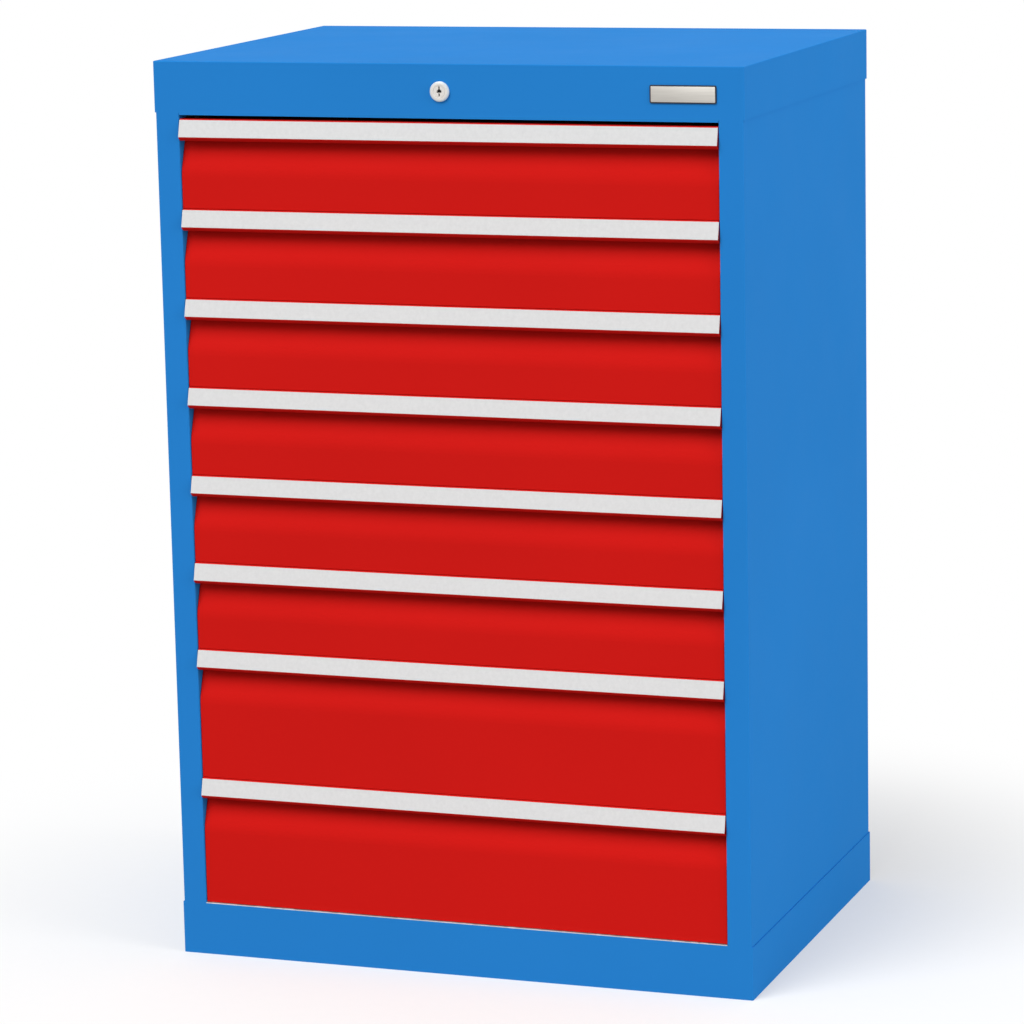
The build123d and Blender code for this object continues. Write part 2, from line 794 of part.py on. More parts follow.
def build_drawers():
    """Each drawer, numbered from the top, with its runners."""
    for number, top in enumerate(front_tops(), start=1):
        bottom = top - FRONT_MODULES[number - 1]
        z = bottom + RUNNER_RISE + RUNNER_HEIGHT / 2
        front_top = top - FRONT_LAP
        front_bottom = max(bottom - FRONT_LAP, PLINTH_HEIGHT + BOTTOM_GAP)
        save(f"drawer_front_{number}", drawer_front(front_top, front_bottom))
        save(f"label_strip_{number}", label_strip(front_top))
        save(f"drawer_box_{number}", drawer_box(top, bottom))
        save(f"drawer_rails_{number}", mirrored(drawer_rail(z)))
        cages = [c for cage in ball_cages(z) for c in mirrored(cage)]
        save(f"middle_rails_{number}", mirrored(middle_rail(z)) + cages)


def build_fixed_rails():
    """The cabinet's rails, all alike, as one group."""
    rails = []
    for number, top in enumerate(front_tops()):
        z = top - FRONT_MODULES[number] + RUNNER_RISE + RUNNER_HEIGHT / 2
        rails += mirrored(fixed_rail(z))
    save("cabinet_rails", rails)


def main():
    os.makedirs("parts", exist_ok=True)
    build_carcass()
    build_lock()
    build_drawers()
    build_fixed_rails()


main()
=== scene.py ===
"""A steel drawer cabinet: blue carcass, red fronts with pale strips, and a cam lock."""

import json
import math

import bpy
from mathutils import Matrix, Vector


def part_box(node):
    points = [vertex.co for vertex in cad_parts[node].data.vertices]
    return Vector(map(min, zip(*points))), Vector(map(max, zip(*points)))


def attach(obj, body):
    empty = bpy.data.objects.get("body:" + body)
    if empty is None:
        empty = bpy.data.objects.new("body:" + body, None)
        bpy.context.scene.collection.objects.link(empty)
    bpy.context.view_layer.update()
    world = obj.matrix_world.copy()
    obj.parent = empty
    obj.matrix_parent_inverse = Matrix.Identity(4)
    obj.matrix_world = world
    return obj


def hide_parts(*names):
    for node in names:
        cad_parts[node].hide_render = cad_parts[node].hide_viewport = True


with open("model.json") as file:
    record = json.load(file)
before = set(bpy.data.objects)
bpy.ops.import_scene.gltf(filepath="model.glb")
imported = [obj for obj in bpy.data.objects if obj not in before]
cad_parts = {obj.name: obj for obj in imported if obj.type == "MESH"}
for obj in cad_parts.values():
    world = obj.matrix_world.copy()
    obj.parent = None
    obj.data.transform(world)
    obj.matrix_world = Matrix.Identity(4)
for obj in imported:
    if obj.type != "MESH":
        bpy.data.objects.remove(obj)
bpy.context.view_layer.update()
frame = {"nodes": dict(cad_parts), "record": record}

bl_info = {
    "name": "Drawer cabinet",
    "version": (1, 0, 0),
    "blender": (4, 5, 0),
    "location": "View3D > Sidebar > Cabinet",
    "description": "Finishes and small parts of a workshop drawer cabinet",
    "category": "Object",
}

RECORD = frame["record"]
MM = 0.001
ROUND_SIDES = 96
SMALL_SIDES = 48
CORNER_SEGMENTS = 8
MERGE_DISTANCE = 0.002 * MM
FACING = 0.9
SMOOTH_ANGLE = math.radians(40)
PLUG_SMOOTH_ANGLE = math.radians(35)
SENSOR_WIDTH = 36.0
VIEW_REACH = 60.0
LAMP_HEIGHT = 3.0


def linear(red, green, blue):
    """A colour given in 0 to 255 display values, as Blender's linear light."""
    result = []
    for value in (red, green, blue):
        share = value / 255
        low = share / 12.92
        high = ((share + 0.055) / 1.055) ** 2.4
        result.append(low if share <= 0.04045 else high)
    return tuple(result)


def tint(colour, factor):
    """A colour made lighter or darker, with full alpha."""
    return tuple(min(1.0, part * factor) for part in colour) + (1.0,)


def low_corner(node):
    """The lowest corner of a node's box, in metres."""
    return Vector(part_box(node)[0])


def high_corner(node):
    """The highest corner of a node's box, in metres."""
    return Vector(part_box(node)[1])


def middle(node):
    """The centre of a node's box, in metres."""
    return (low_corner(node) + high_corner(node)) / 2


def nodes_of(slot):
    """The names of the nodes that take one finish."""
    return [part["node"] for part in RECORD["subparts"] if part["material_slot"] == slot]


FRONT_Y = low_corner("side_panel_left").y
PLATE_LOW = low_corner("name_plate")
PLATE_HIGH = high_corner("name_plate")
LOCK_LOW = low_corner("lock_housing")
LOCK_HIGH = high_corner("lock_housing")
PLUG_LOW = low_corner("lock_plug")
PLUG_HIGH = high_corner("lock_plug")


class CabinetColours(bpy.types.PropertyGroup):
    """The colours of the cabinet's finishes."""

    carcass: bpy.props.FloatVectorProperty(
        name="Carcass",
        description="Powder coat of the cover, sides and base",
        subtype="COLOR",
        default=linear(37, 126, 202),
        min=0,
        max=1,
    )
    fronts: bpy.props.FloatVectorProperty(
        name="Fronts",
        description="Powder coat of the drawers",
        subtype="COLOR",
        default=linear(202, 24, 20),
        min=0,
        max=1,
    )
    strips: bpy.props.FloatVectorProperty(
        name="Label strips",
        description="Pale strips on the grips",
        subtype="COLOR",
        default=linear(210, 210, 210),
        min=0,
        max=1,
    )
    lock: bpy.props.FloatVectorProperty(
        name="Lock",
        description="Satin nickel of the lock",
        subtype="COLOR",
        default=linear(224, 220, 215),
        min=0,
        max=1,
    )
    # Paler, bluer colour for the lock's chamfer: a painted highlight that stands in for the
    # bright ring of light on it.
    lock_rim_highlight: bpy.props.FloatVectorProperty(
        name="Lock rim",
        description="Pale rim of the lock",
        subtype="COLOR",
        default=linear(203, 211, 218),
        min=0,
        max=1,
    )
    # Near-black disc set inside the keyway: painted shade that stands in for the shade deep
    # in the keyway.
    keyway: bpy.props.FloatVectorProperty(
        name="Keyway",
        description="Dark shutter in the keyway",
        subtype="COLOR",
        default=linear(14, 14, 15),
        min=0,
        max=1,
    )
    plate: bpy.props.FloatVectorProperty(
        name="Plate",
        description="Face of the bare plate",
        subtype="COLOR",
        default=linear(200, 196, 189),
        min=0,
        max=1,
    )
    plate_edge: bpy.props.FloatVectorProperty(
        name="Plate edge",
        description="Dark border of the bare plate",
        subtype="COLOR",
        default=linear(20, 26, 40),
        min=0,
        max=1,
    )
    zinc: bpy.props.FloatVectorProperty(
        name="Zinc sheet",
        description="Galvanised posts and floor",
        subtype="COLOR",
        default=linear(206, 209, 212),
        min=0,
        max=1,
    )
    runners: bpy.props.FloatVectorProperty(
        name="Runners",
        description="Bright runner steel",
        subtype="COLOR",
        default=linear(192, 195, 198),
        min=0,
        max=1,
    )


class CabinetSizes(bpy.types.PropertyGroup):
    """The sizes of the small parts that are modelled here."""

    plate_border: bpy.props.FloatProperty(
        name="Plate border",
        description="Width of the plate's dark border",
        default=1.1 * MM,
        unit="LENGTH",
    )
    plate_corner: bpy.props.FloatProperty(
        name="Plate corner",
        description="Corner radius of the plate",
        default=2.0 * MM,
        unit="LENGTH",
    )
    plate_step: bpy.props.FloatProperty(
        name="Plate step",
        description="How far the plate's face stands above its border",
        default=0.25 * MM,
        unit="LENGTH",
    )
    plate_bevel: bpy.props.FloatProperty(
        name="Plate bevel",
        description="Width of the slope from the border up to the plate's face",
        default=0.33 * MM,
        unit="LENGTH",
    )
    plate_rounding: bpy.props.FloatProperty(
        name="Plate rounding",
        description="Width of the rounding on the plate's edges",
        default=0.08 * MM,
        unit="LENGTH",
    )
    # The chamfer's bright ring is a painted highlight, from the paler, bluer rim colour.
    lock_chamfer: bpy.props.FloatProperty(
        name="Lock chamfer",
        description="Width of the bright ring round the lock's face",
        default=1.6 * MM,
        unit="LENGTH",
    )
    lock_rounding: bpy.props.FloatProperty(
        name="Lock rounding",
        description="Width of the rounding on the lock face's edges",
        default=0.2 * MM,
        unit="LENGTH",
    )
    seat_depth: bpy.props.FloatProperty(
        name="Seat depth",
        description="Depth of the seat that the plug stands in",
        default=9.0 * MM,
        unit="LENGTH",
    )
    barrel: bpy.props.FloatProperty(
        name="Barrel",
        description="Diameter of the lock's barrel",
        default=19.0 * MM,
        unit="LENGTH",
    )
    key_rise: bpy.props.FloatProperty(
        name="Key rise",
        description="How far the keyway stands above the plug's middle",
        default=0.4 * MM,
        unit="LENGTH",
    )
    dome_height: bpy.props.FloatProperty(
        name="Dome height",
        description="Height of the keyway's wide middle",
        default=3.9 * MM,
        unit="LENGTH",
    )
    dome_drop: bpy.props.FloatProperty(
        name="Dome drop",
        description="How far the dome's flat foot lies below the keyway's middle",
        default=1.638 * MM,
        unit="LENGTH",
    )
    plug_play: bpy.props.FloatProperty(
        name="Plug play",
        description="Gap between the plug and the lock's face",
        default=0.15 * MM,
        unit="LENGTH",
    )
    key_slot: bpy.props.FloatProperty(
        name="Key slot",
        description="Width of the keyway's narrow parts",
        default=1.5 * MM,
        unit="LENGTH",
    )
    key_height: bpy.props.FloatProperty(
        name="Key height",
        description="Height of the whole keyway",
        default=10.8 * MM,
        unit="LENGTH",
    )
    key_dome: bpy.props.FloatProperty(
        name="Key dome",
        description="Width of the keyway's wide middle",
        default=5.6 * MM,
        unit="LENGTH",
    )
    key_bridge: bpy.props.FloatProperty(
        name="Key bridge",
        description="Height of the bar between the dome and the lower slot",
        default=0.7 * MM,
        unit="LENGTH",
    )
    key_depth: bpy.props.FloatProperty(
        name="Key depth",
        description="Depth of the keyway",
        default=5.0 * MM,
        unit="LENGTH",
    )
    plug_tail: bpy.props.FloatProperty(
        name="Plug tail",
        description="How far the plug runs on behind the keyway",
        default=1.5 * MM,
        unit="LENGTH",
    )
    # Sizes of the dark disc that paints shade inside the keyway.
    painted_shade_depth: bpy.props.FloatProperty(
        name="Shade depth",
        description="How deep in the keyway the dark shutter stands",
        default=3.5 * MM,
        unit="LENGTH",
    )
    painted_shade_thickness: bpy.props.FloatProperty(
        name="Shade thickness",
        description="Thickness of the dark shutter",
        default=2.5 * MM,
        unit="LENGTH",
    )
    painted_shade_dish: bpy.props.FloatProperty(
        name="Shade dish",
        description="How far the shutter's middle is sunk",
        default=0.2 * MM,
        unit="LENGTH",
    )
    painted_shade_reach: bpy.props.FloatProperty(
        name="Shade reach",
        description="Radius of the shutter, as a share of the plug's",
        default=0.9,
    )
    painted_shade_rim: bpy.props.FloatProperty(
        name="Shade rim",
        description="Width of the shutter's rim, as a share of the plug's radius",
        default=0.3,
    )


class CabinetStudio(bpy.types.PropertyGroup):
    """The camera and the light."""

    camera_place: bpy.props.FloatVectorProperty(
        name="Camera place",
        description="Where the camera stands",
        subtype="TRANSLATION",
        default=(1.599493, -4.492095, 1.400882),
    )
    camera_turn: bpy.props.FloatVectorProperty(
        name="Camera turn",
        description="Turn to the left, tilt up and roll of the camera",
        subtype="EULER",
        default=(0.345903, -0.190061, -0.020595),
    )
    camera_lens: bpy.props.FloatProperty(
        name="Lens",
        description="Focal length in millimetres on a 36 mm sensor",
        default=147.662,
    )
    key_strength: bpy.props.FloatProperty(
        name="Key light",
        description="Strength of the soft light from above and in front",
        default=2.2,
    )
    key_towards: bpy.props.FloatVectorProperty(
        name="Key direction",
        description="From the cabinet towards the key light",
        subtype="DIRECTION",
        default=(-0.2, -0.445, 0.53),
    )
    side_strength: bpy.props.FloatProperty(
        name="Side light",
        description="Strength of the soft light from the right",
        default=1.57,
    )
    side_towards: bpy.props.FloatVectorProperty(
        name="Side direction",
        description="From the cabinet towards the side light",
        subtype="DIRECTION",
        default=(0.9, -0.1, 0.25),
    )
    light_spread: bpy.props.FloatProperty(
        name="Light spread",
        description="Angle that each soft light fills",
        default=math.radians(40),
        subtype="ANGLE",
    )
    fill_strength: bpy.props.FloatProperty(
        name="Fill",
        description="Strength of the even light from all round",
        default=0.55,
    )
    floor_radius: bpy.props.FloatProperty(
        name="Floor radius",
        description="How far the plain floor reaches",
        default=6.0,
        unit="LENGTH",
    )
    floor_shade: bpy.props.FloatProperty(
        name="Floor shade",
        description="How light the floor is, from 0 to 1",
        default=0.86,
        min=0,
        max=1,
    )
    fade_start: bpy.props.FloatProperty(
        name="Fade start",
        description="Distance from the middle at which the floor begins to turn white",
        default=0.38,
        unit="LENGTH",
    )
    fade_end: bpy.props.FloatProperty(
        name="Fade end",
        description="Distance from the middle at which the floor is white",
        default=1.0,
        unit="LENGTH",
    )
    floor_glow: bpy.props.FloatProperty(
        name="Floor glow",
        description="Share of plain white in the floor beside the cabinet",
        default=0.35,
        min=0,
        max=1,
    )
    floor_bounce: bpy.props.FloatProperty(
        name="Floor bounce",
        description="How much of its light the floor gives back to the cabinet",
        default=0.35,
        min=0,
        max=1,
    )


GROUPS = {
    "cabinet_colours": CabinetColours,
    "cabinet_sizes": CabinetSizes,
    "cabinet_studio": CabinetStudio,
}


# Materials


def add_node(tree, kind, values=None, **settings):
    """A shader node with its settings, and its sockets' values by name."""
    node = tree.nodes.new(kind)
    for name, value in settings.items():
        setattr(node, name, value)
    for name, value in (values or {}).items():
        node.inputs[name].default_value = value
    return node


def start_material(name, **values):
    """A new material, its node tree and its shader, with constants set on the shader."""
    material = bpy.data.materials.new(name)
    material.use_nodes = True
    tree = material.node_tree
    shader = tree.nodes["Principled BSDF"]
    for socket, value in values.items():
        shader.inputs[socket.replace("_", " ")].default_value = value
    return material, tree, shader


def noise_at(tree, scale, stretch=(1, 1, 1), **values):
    """Noise in the object's own coordinates, longer along an axis where stretched."""
    place = add_node(tree, "ShaderNodeTexCoord")
    mapping = add_node(tree, "ShaderNodeMapping", {"Scale": stretch})
    noise = add_node(tree, "ShaderNodeTexNoise", {"Scale": scale, **values})
    tree.links.new(place.outputs["Object"], mapping.inputs["Vector"])
    tree.links.new(mapping.outputs["Vector"], noise.inputs["Vector"])
    return noise.outputs["Fac"]


def ramp_between(tree, source, dark, light, low=0.3, high=0.7):
    """Two colours mixed by a pattern."""
    ramp = add_node(tree, "ShaderNodeValToRGB")
    ramp.color_ramp.elements[0].position = low
    ramp.color_ramp.elements[0].color = dark
    ramp.color_ramp.elements[1].position = high
    ramp.color_ramp.elements[1].color = light
    tree.links.new(source, ramp.inputs["Fac"])
    return ramp.outputs["Color"]


def range_of(tree, source, low, high):
    """A pattern turned into a value between two limits."""
    values = {"From Min": 0.25, "From Max": 0.75, "To Min": low, "To Max": high}
    span = add_node(tree, "ShaderNodeMapRange", values)
    tree.links.new(source, span.inputs["Value"])
    return span.outputs["Result"]


def raise_bumps(tree, shader, source, height, strength):
    """A pattern turned into fine relief."""
    bump = add_node(tree, "ShaderNodeBump", {"Distance": height, "Strength": strength})
    tree.links.new(source, bump.inputs["Height"])
    tree.links.new(bump.outputs["Normal"], shader.inputs["Normal"])


def mix_shaders(tree, share, first, second):
    """Two shaders mixed by a share of the second."""
    mix = add_node(tree, "ShaderNodeMixShader")
    tree.links.new(share, mix.inputs["Fac"])
    tree.links.new(first, mix.inputs[1])
    tree.links.new(second, mix.inputs[2])
    return mix.outputs["Shader"]


def powder_coat(name, colour, drift):
    """Satin powder coat: fine orange peel, with a slow drift in tone and gloss."""
    material, tree, shader = start_material(name, IOR=1.45, Specular_IOR_Level=0.04)
    tone = noise_at(tree, 2.5, Detail=3.0, Roughness=0.5)
    colours = ramp_between(tree, tone, tint(colour, 1 - drift), tint(colour, 1 + drift))
    tree.links.new(colours, shader.inputs["Base Color"])
    gloss = noise_at(tree, 9.0, Detail=4.0, Roughness=0.6)
    tree.links.new(range_of(tree, gloss, 0.66, 0.78), shader.inputs["Roughness"])
    peel = noise_at(tree, 900.0, Detail=2.0, Roughness=0.45)
    raise_bumps(tree, shader, peel, 0.05 * MM, 0.35)
    return material


def strip_card(name, colour):
    """Pale satin plastic over card, faintly mottled."""
    material, tree, shader = start_material(name, IOR=1.4)
    mottle = noise_at(tree, 240.0, Detail=5.0, Roughness=0.7)
    colours = ramp_between(tree, mottle, tint(colour, 0.93), tint(colour, 1.02))
    tree.links.new(colours, shader.inputs["Base Color"])
    tree.links.new(range_of(tree, mottle, 0.5, 0.62), shader.inputs["Roughness"])
    raise_bumps(tree, shader, mottle, 0.04 * MM, 0.3)
    return material


def brushed_metal(name, colour, stretch, roughness, metallic=1.0, grain=700.0):
    """Metal with fine lines along one axis and a cloudy sheen."""
    material, tree, shader = start_material(name, Metallic=metallic)
    lines = noise_at(tree, grain, stretch, Detail=3.0, Roughness=0.6)
    colours = ramp_between(tree, lines, tint(colour, 0.9), tint(colour, 1.05))
    tree.links.new(colours, shader.inputs["Base Color"])
    cloud = noise_at(tree, 14.0, Detail=3.0, Roughness=0.5)
    span = range_of(tree, cloud, roughness - 0.05, roughness + 0.07)
    tree.links.new(span, shader.inputs["Roughness"])
    raise_bumps(tree, shader, lines, 0.02 * MM, 0.3)
    return material


def spangled_zinc(name, colour):
    """Galvanised sheet: flat crystal patches that catch the light differently."""
    material, tree, shader = start_material(name, Metallic=0.75)
    place = add_node(tree, "ShaderNodeTexCoord")
    patches = add_node(tree, "ShaderNodeTexVoronoi", {"Scale": 130.0, "Randomness": 1.0})
    tree.links.new(place.outputs["Object"], patches.inputs["Vector"])
    grey = add_node(tree, "ShaderNodeRGBToBW")
    tree.links.new(patches.outputs["Color"], grey.inputs["Color"])
    shade = grey.outputs["Val"]
    colours = ramp_between(tree, shade, tint(colour, 0.86), tint(colour, 1.08), 0.1, 0.9)
    tree.links.new(colours, shader.inputs["Base Color"])
    tree.links.new(range_of(tree, shade, 0.34, 0.52), shader.inputs["Roughness"])
    raise_bumps(tree, shader, shade, 0.02 * MM, 0.25)
    return material


def turned_nickel(name, colour, centre, metallic):
    """Satin nickel faced on a lathe: fine rings round the lock's axis."""
    material, tree, shader = start_material(name, Metallic=metallic)
    place = add_node(tree, "ShaderNodeTexCoord")
    shift = tuple(-part for part in centre)
    mapping = add_node(tree, "ShaderNodeMapping", {"Location": shift})
    rings = add_node(
        tree,
        "ShaderNodeTexWave",
        {"Scale": 420.0, "Distortion": 0.6, "Detail": 2.0},
        wave_type="RINGS",
        rings_direction="Y",
    )
    tree.links.new(place.outputs["Object"], mapping.inputs["Vector"])
    tree.links.new(mapping.outputs["Vector"], rings.inputs["Vector"])
    fine = rings.outputs["Fac"]
    colours = ramp_between(tree, fine, tint(colour, 0.95), tint(colour, 1.03), 0.1, 0.9)
    tree.links.new(colours, shader.inputs["Base Color"])
    tree.links.new(range_of(tree, fine, 0.3, 0.4), shader.inputs["Roughness"])
    raise_bumps(tree, shader, fine, 0.015 * MM, 0.3)
    return material


def dark_enamel(name, colour, roughness):
    """Dark enamel or plastic with a fine, uneven surface; its near-black use inside the
    keyway is painted shade.
    """
    material, tree, shader = start_material(name, IOR=1.45)
    speck = noise_at(tree, 1500.0, Detail=3.0, Roughness=0.6)
    colours = ramp_between(tree, speck, tint(colour, 0.8), tint(colour, 1.2))
    tree.links.new(colours, shader.inputs["Base Color"])
    span = range_of(tree, speck, roughness - 0.06, roughness + 0.06)
    tree.links.new(span, shader.inputs["Roughness"])
    raise_bumps(tree, shader, speck, 0.02 * MM, 0.3)
    return material


def dress(names, material):
    """Gives CAD nodes a finish."""
    for name in names:
        piece = frame["nodes"][name]
        if not piece.material_slots:
            piece.data.materials.append(material)
        for holder in piece.material_slots:
            holder.material = material


# Modelling


def select_only(piece):
    """Makes a piece the only one selected."""
    bpy.ops.object.select_all(action="DESELECT")
    piece.select_set(True)
    bpy.context.view_layer.objects.active = piece


def name_new(name):
    """Names the object just added and fixes its place and turn in its mesh."""
    piece = bpy.context.active_object
    piece.name = name
    piece.data.name = name
    bpy.ops.object.transform_apply(location=True, rotation=True, scale=True)
    return piece


def add_rod(name, x, z, y_front, y_back, radius, sides=ROUND_SIDES):
    """A round bar along Y."""
    bpy.ops.object.select_all(action="DESELECT")
    bpy.ops.mesh.primitive_cylinder_add(
        vertices=sides,
        radius=radius,
        depth=y_back - y_front,
        location=(x, (y_front + y_back) / 2, z),
        rotation=(math.pi / 2, 0, 0),
    )
    return name_new(name)


def add_block(name, low, high):
    """A block between two corners."""
    bpy.ops.object.select_all(action="DESELECT")
    centre = (Vector(low) + Vector(high)) / 2
    span = Vector(high) - Vector(low)
    bpy.ops.mesh.primitive_cube_add(size=1, location=centre, scale=span)
    return name_new(name)


def edit_faces(piece, test):
    """Opens a piece with the faces selected whose centre and normal pass a test."""
    select_only(piece)
    bpy.context.tool_settings.mesh_select_mode = (False, False, True)
    for point in piece.data.vertices:
        point.select = False
    for edge in piece.data.edges:
        edge.select = False
    for face in piece.data.polygons:
        face.select = test(face.center, face.normal)
    bpy.ops.object.mode_set(mode="EDIT")


def edit_edges(piece, test):
    """Opens a piece with the edges selected whose two ends pass a test."""
    select_only(piece)
    bpy.context.tool_settings.mesh_select_mode = (False, True, False)
    points = piece.data.vertices
    for face in piece.data.polygons:
        face.select = False
    for point in points:
        point.select = False
    for edge in piece.data.edges:
        first, second = (points[index].co for index in edge.vertices)
        edge.select = test(first, second)
    bpy.ops.object.mode_set(mode="EDIT")


def leave_edit():
    """Goes back from the mesh to the object."""
    bpy.ops.object.mode_set(mode="OBJECT")


def smooth_edges(piece, width, segments=3):
    """Rounds a piece's sharp edges and shades the rest smooth."""
    select_only(piece)
    rounding = piece.modifiers.new("rounding", "BEVEL")
    rounding.width = width
    rounding.segments = segments
    rounding.limit_method = "ANGLE"
    rounding.angle_limit = SMOOTH_ANGLE
    bpy.ops.object.modifier_apply(modifier=rounding.name)
    bpy.ops.object.shade_smooth_by_angle(angle=SMOOTH_ANGLE)


def cut_away(piece, cutter):
    """Takes one solid out of another."""
    select_only(piece)
    cut = piece.modifiers.new("cut", "BOOLEAN")
    cut.object = cutter
    cut.operation = "DIFFERENCE"
    cut.solver = "EXACT"
    bpy.ops.object.modifier_apply(modifier=cut.name)
    bpy.data.objects.remove(cutter, do_unlink=True)


def tidy_mesh(piece):
    """Merges doubles and points the faces outwards."""
    edit_faces(piece, lambda centre, normal: True)
    bpy.ops.mesh.remove_doubles(threshold=MERGE_DISTANCE)
    bpy.ops.mesh.normals_make_consistent(inside=False)
    leave_edit()


def finish_piece(piece, body, slot, *materials):
    """Gives a piece its body and its finishes. The slot is not used."""
    for material in materials:
        piece.data.materials.append(material)
    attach(piece, body)


def faces_front(centre, normal):
    """Tells a face that looks to the front."""
    return normal.y < -FACING


# Operators


class CABINET_OT_camera(bpy.types.Operator):
    """Place the camera at the photograph's viewpoint"""

    bl_idname = "cabinet.camera"
    bl_label = "Camera"

    def execute(self, context):
        studio = context.scene.cabinet_studio
        yaw, pitch, roll = studio.camera_turn
        ahead = Vector(
            (
                -math.sin(yaw) * math.cos(pitch),
                math.cos(yaw) * math.cos(pitch),
                math.sin(pitch),
            )
        )
        across = ahead.cross(Vector((0, 0, 1))).normalized()
        over = across.cross(ahead)
        right = math.cos(roll) * across + math.sin(roll) * over
        up = math.cos(roll) * over - math.sin(roll) * across
        bpy.ops.object.camera_add(location=studio.camera_place)
        camera = context.active_object
        camera.name = "photo_camera"
        turn = Matrix((right, up, -ahead)).transposed()
        camera.rotation_euler = turn.to_euler()
        camera.data.lens = studio.camera_lens
        camera.data.sensor_width = SENSOR_WIDTH
        camera.data.sensor_fit = "HORIZONTAL"
        camera.data.clip_end = VIEW_REACH
        context.scene.camera = camera
        return {"FINISHED"}


class CABINET_OT_carcass(bpy.types.Operator):
    """Coat the cover, the sides, the back and the base"""

    bl_idname = "cabinet.carcass"
    bl_label = "Carcass"

    def execute(self, context):
        colours = context.scene.cabinet_colours
        coat = powder_coat("blue_powder_coat", tuple(colours.carcass), drift=0.025)
        dress(nodes_of("blue_paint"), coat)
        return {"FINISHED"}


class CABINET_OT_drawers(bpy.types.Operator):
    """Coat the drawers and lay the pale strips"""

    bl_idname = "cabinet.drawers"
    bl_label = "Drawers"

    def execute(self, context):
        colours = context.scene.cabinet_colours
        coat = powder_coat("red_powder_coat", tuple(colours.fronts), drift=0.03)
        dress(nodes_of("red_paint") + nodes_of("box_paint"), coat)
        strips = strip_card("label_strip", tuple(colours.strips))
        dress(nodes_of("label_strip"), strips)
        return {"FINISHED"}


class CABINET_OT_inner_steel(bpy.types.Operator):
    """Finish the posts, the floor, the runners and the lock's linkage"""

    bl_idname = "cabinet.inner_steel"
    bl_label = "Inner steel"

    def execute(self, context):
        colours = context.scene.cabinet_colours
        dress(nodes_of("zinc_sheet"), spangled_zinc("zinc_sheet", tuple(colours.zinc)))
        along = (1.0, 0.02, 1.0)
        steel = brushed_metal("runner_steel", tuple(colours.runners), along, roughness=0.32)
        dress(nodes_of("runner_steel"), steel)
        return {"FINISHED"}


